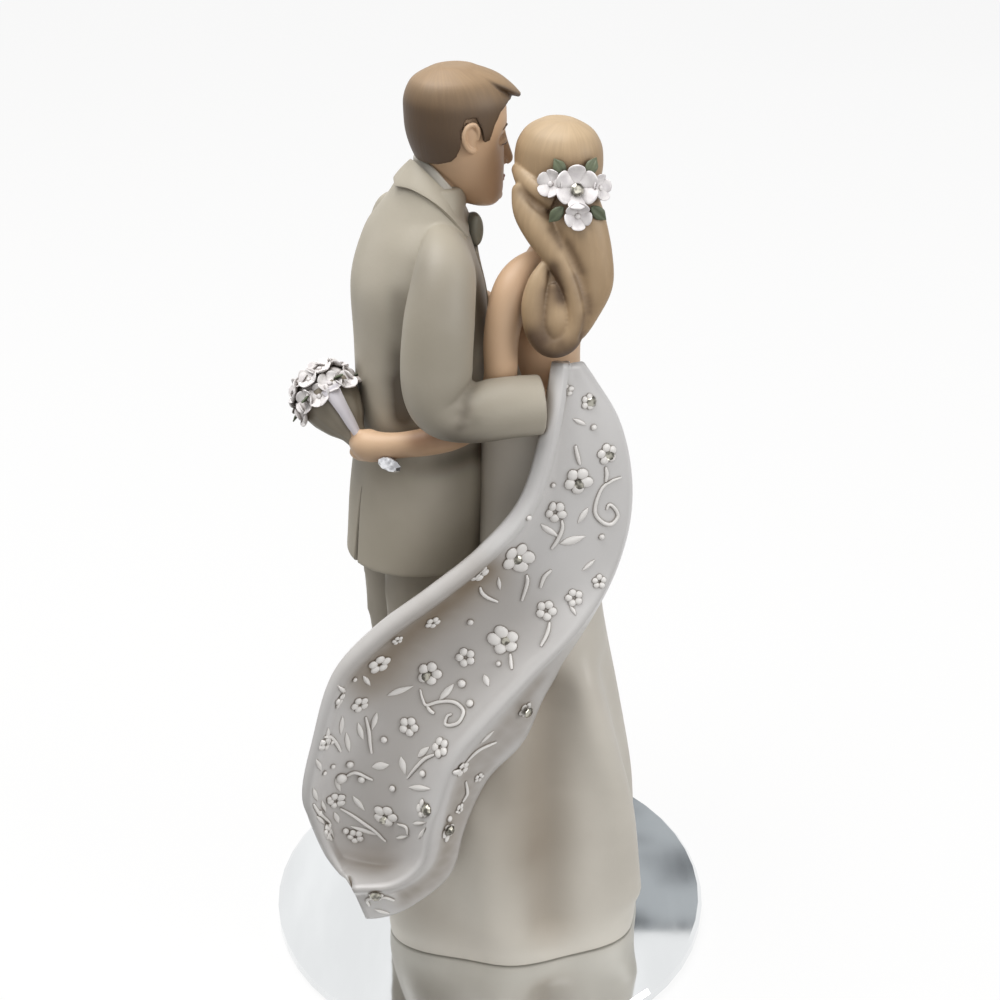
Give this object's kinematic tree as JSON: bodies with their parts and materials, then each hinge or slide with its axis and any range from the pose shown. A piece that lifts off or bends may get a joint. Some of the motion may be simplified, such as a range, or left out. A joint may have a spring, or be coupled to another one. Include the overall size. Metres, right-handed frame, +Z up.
{
  "type": "wedding cake topper",
  "caption": "Bride and groom figurine embracing on a round mirror base, with a flowered gown train, hair flowers, a bouquet and crystal trim, to stand on top of a wedding cake.",
  "frame": {"origin": "middle of the base's underside", "axes": "+Z up; the embroidered train faces -Y, the groom stands towards -X and the bride towards +X, and their faces turn towards +Y"},
  "size_m": [0.09, 0.09, 0.1769],
  "materials": {
    "felt": "dense felt",
    "mirror": "polished mirror glass with a bevelled rim",
    "steel": "plain wire pin",
    "suit": "matte painted resin with a brown wash in the creases",
    "trousers": "matte painted resin with a brown wash",
    "shoes": "satin painted resin",
    "shirt": "matte painted resin",
    "tie": "satin painted resin",
    "skin": "matte painted resin",
    "brown_hair": "matte painted resin with combed grooves",
    "blonde_hair": "matte painted resin with combed grooves",
    "satin": "satin painted resin",
    "pearl": "pearl white painted resin with raised flowers",
    "petal": "matte white painted resin",
    "leaf": "matte green painted resin",
    "crystal": "faceted foil-backed crystal"
  },
  "bodies": {
    "root": {"base_felt": "felt", "base_mirror": "mirror", "gown_pin": "steel", "groom_pin": "steel", "groom_neck_pin": "steel", "bride_neck_pin": "steel", "groom_jacket": "suit", "groom_jacket_collar": "suit", "groom_sleeve_right": "suit", "groom_sleeve_left": "suit", "groom_trousers": "trousers", "groom_shoe_right": "shoes", "groom_shoe_left": "shoes", "groom_shirt_front": "shirt", "groom_shirt_collar": "shirt", "groom_bow_tie": "tie", "groom_hand_right": "skin", "groom_hand_left": "skin", "groom_head": "skin", "bride_torso": "skin", "bride_head": "skin", "bride_arm_left": "skin", "bride_arm_right": "skin", "groom_hair": "brown_hair", "bride_hair_cap": "blonde_hair", "bride_hair_fall": "blonde_hair", "bride_hair_ringlet": "blonde_hair", "bride_hair_twist": "blonde_hair", "gown_bodice": "satin", "gown_skirt": "satin", "gown_train": "pearl", "hair_flower_main": "petal", "hair_flower_left": "petal", "hair_flower_right": "petal", "hair_flower_lower": "petal", "bouquet_dome": "petal", "bouquet_flower_1": "petal", "bouquet_flower_2": "petal", "bouquet_flower_3": "petal", "bouquet_flower_4": "petal", "bouquet_flower_5": "petal", "hair_leaf_upper_left": "leaf", "hair_leaf_upper_right": "leaf", "hair_leaf_lower_left": "leaf", "hair_leaf_lower_right": "leaf", "bouquet_wrap": "leaf", "ring_stone": "crystal", "hair_flower_stone": "crystal", "train_stone_1": "crystal", "train_stone_2": "crystal", "train_stone_3": "crystal", "train_stone_4": "crystal", "train_stone_5": "crystal", "train_stone_6": "crystal", "train_stone_7": "crystal", "train_stone_8": "crystal", "train_stone_9": "crystal", "train_stone_10": "crystal", "train_stone_11": "crystal"}
  },
  "joints": []
}
